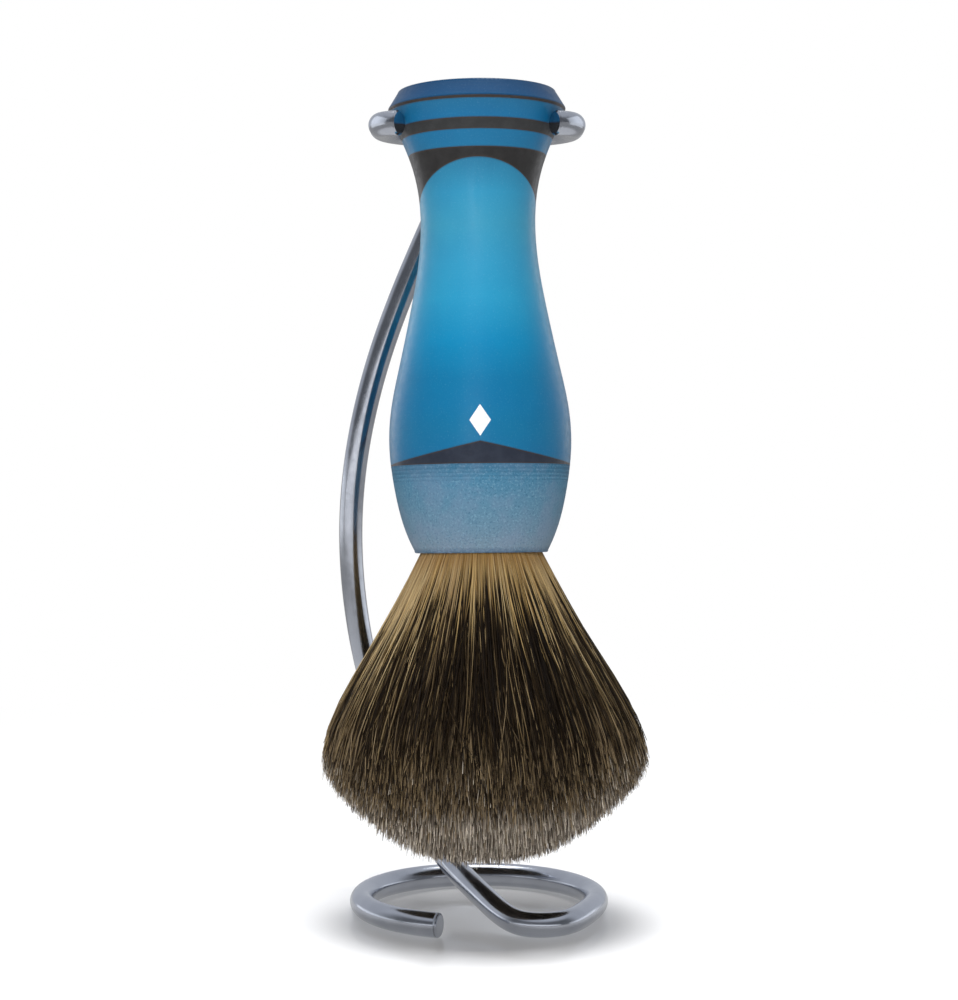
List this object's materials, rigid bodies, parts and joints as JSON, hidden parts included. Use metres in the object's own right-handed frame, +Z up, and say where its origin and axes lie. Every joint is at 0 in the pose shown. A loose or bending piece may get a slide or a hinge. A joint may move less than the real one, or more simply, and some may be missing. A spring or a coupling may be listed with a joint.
{
  "type": "shaving brush with stand",
  "caption": "Hair brush with a waisted laminated handle, hanging hair-down in a hooked wire cradle on a bent round-wire stand.",
  "frame": {"origin": "on the table, at the centre of the wire base ring", "axes": "+Z up, +X to the right seen from the open front of the cradle, +Y to the rear"},
  "size_m": [0.0543, 0.0566, 0.1362],
  "materials": {
    "blue_resin": "satin, fine fleck",
    "dark_blue_resin": "satin, fine fleck",
    "pearl_blue_resin": "satin pearl with fine turning lines",
    "black_resin": "satin",
    "white_enamel": "gloss",
    "clear_glue": "cured adhesive",
    "knot_resin": "amber cast resin",
    "binding_thread": "waxed thread",
    "badger_hair": "fine banded hair",
    "chrome_wire": "mirror",
    "chrome_braze": "plated fillet"
  },
  "bodies": {
    "stand": {"stand_rod": "chrome_wire", "cradle_fork": "chrome_wire", "cradle_braze": "chrome_braze"},
    "brush": {"crown_cap": "dark_blue_resin", "crown_pinstripe": "black_resin", "upper_blue_band": "blue_resin", "black_band": "black_resin", "lower_blue_band": "blue_resin", "neck_collar": "black_resin", "grip_body": "blue_resin", "grip_inlay": "white_enamel", "chevron_wedge": "black_resin", "knot_socket": "pearl_blue_resin", "socket_glue": "clear_glue", "knot_plug": "knot_resin", "knot_binding": "binding_thread", "hair_root_bundle": "badger_hair"},
    "knot": {"hair_knot": "badger_hair"}
  },
  "joints": [
    {"name": "brush_lift_off", "type": "slide", "parent": "stand", "child": "brush", "axis": [0, -0.5, 0.866], "range_m": [0, 0.14]},
    {"name": "knot_bend", "type": "hinge", "parent": "brush", "child": "knot", "pos_m": [0.0004, -0.00544, 0.06032], "axis": [0.9999, 0.0008, 0.0104], "range_deg": [-20, 0], "stiffness_Nm_per_rad": 0.12, "deforming": ["hair_knot"]}
  ]
}
